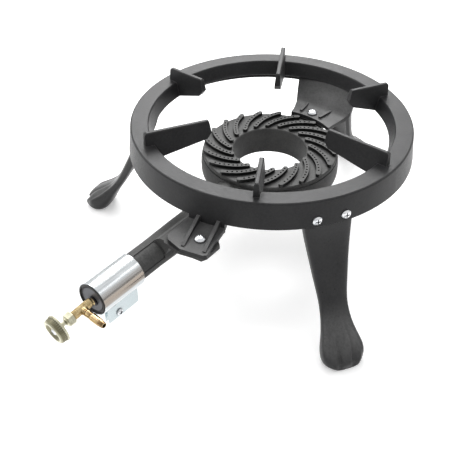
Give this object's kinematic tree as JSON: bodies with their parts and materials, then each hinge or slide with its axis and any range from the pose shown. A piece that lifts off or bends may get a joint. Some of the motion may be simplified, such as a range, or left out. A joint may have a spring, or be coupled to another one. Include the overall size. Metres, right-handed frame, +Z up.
{
  "type": "gas ring burner stand",
  "caption": "Low cast iron gas ring burner on paw-footed legs, with upright pot supports in a round ring, a swirl-ribbed burner, a sliding air sleeve and a needle valve with a hose tail.",
  "frame": {"origin": "on the floor, under the centre of the burner and of the pan ring", "axes": "+Z up; the mixing tube and the valve point along -Y; the hose tail points along +X"},
  "size_m": [0.4355, 0.5832, 0.1805],
  "materials": {
    "ring_iron": "painted satin black",
    "leg_iron": "painted satin black",
    "burner_iron": "painted matt black, rough cast",
    "zinc_steel": "zinc plated",
    "sleeve_chrome": "bright plated sheet",
    "plate_paint": "dark grey paint",
    "valve_brass": "turned brass",
    "knob_brass": "dull nickelled brass",
    "packing": "matt fluoropolymer"
  },
  "bodies": {
    "stand": {"pan_ring": "ring_iron", "leg_right": "leg_iron", "leg_left": "leg_iron", "leg_rear": "leg_iron", "leg_screws": "zinc_steel", "leg_washers": "zinc_steel", "leg_nuts": "zinc_steel", "burner_cap": "burner_iron", "burner_body": "burner_iron", "burner_screws": "zinc_steel", "burner_washers": "zinc_steel", "burner_nuts": "zinc_steel", "cap_screws": "zinc_steel", "end_plate": "plate_paint", "lock_nut": "zinc_steel", "valve_body": "valve_brass", "hose_barb": "valve_brass", "gas_jet": "valve_brass", "gland_nut": "knob_brass", "gland_packing": "packing"},
    "shutter": {"air_shutter": "sleeve_chrome", "clamp_screw": "zinc_steel", "clamp_nut": "zinc_steel"},
    "spindle": {"spindle": "valve_brass"},
    "knob": {"knob": "knob_brass", "knob_screw": "zinc_steel"}
  },
  "joints": [
    {"name": "air_shutter_slide", "type": "slide", "parent": "stand", "child": "shutter", "axis": [0, 1, 0], "range_m": [0, 0.02]},
    {"name": "spindle_advance", "type": "slide", "parent": "stand", "child": "spindle", "axis": [-0.0826, -0.984, -0.1582], "range_m": [0, 0.0015]},
    {"name": "knob_turn", "type": "hinge", "parent": "spindle", "child": "knob", "pos_m": [-0.00253, -0.33025, 0.09553], "axis": [-0.0826, -0.984, -0.1582], "range_deg": [0, 720]}
  ],
  "couplings": [
    {"joint": "knob_turn", "follows": "spindle_advance", "rad_per_m": 8377.6}
  ]
}
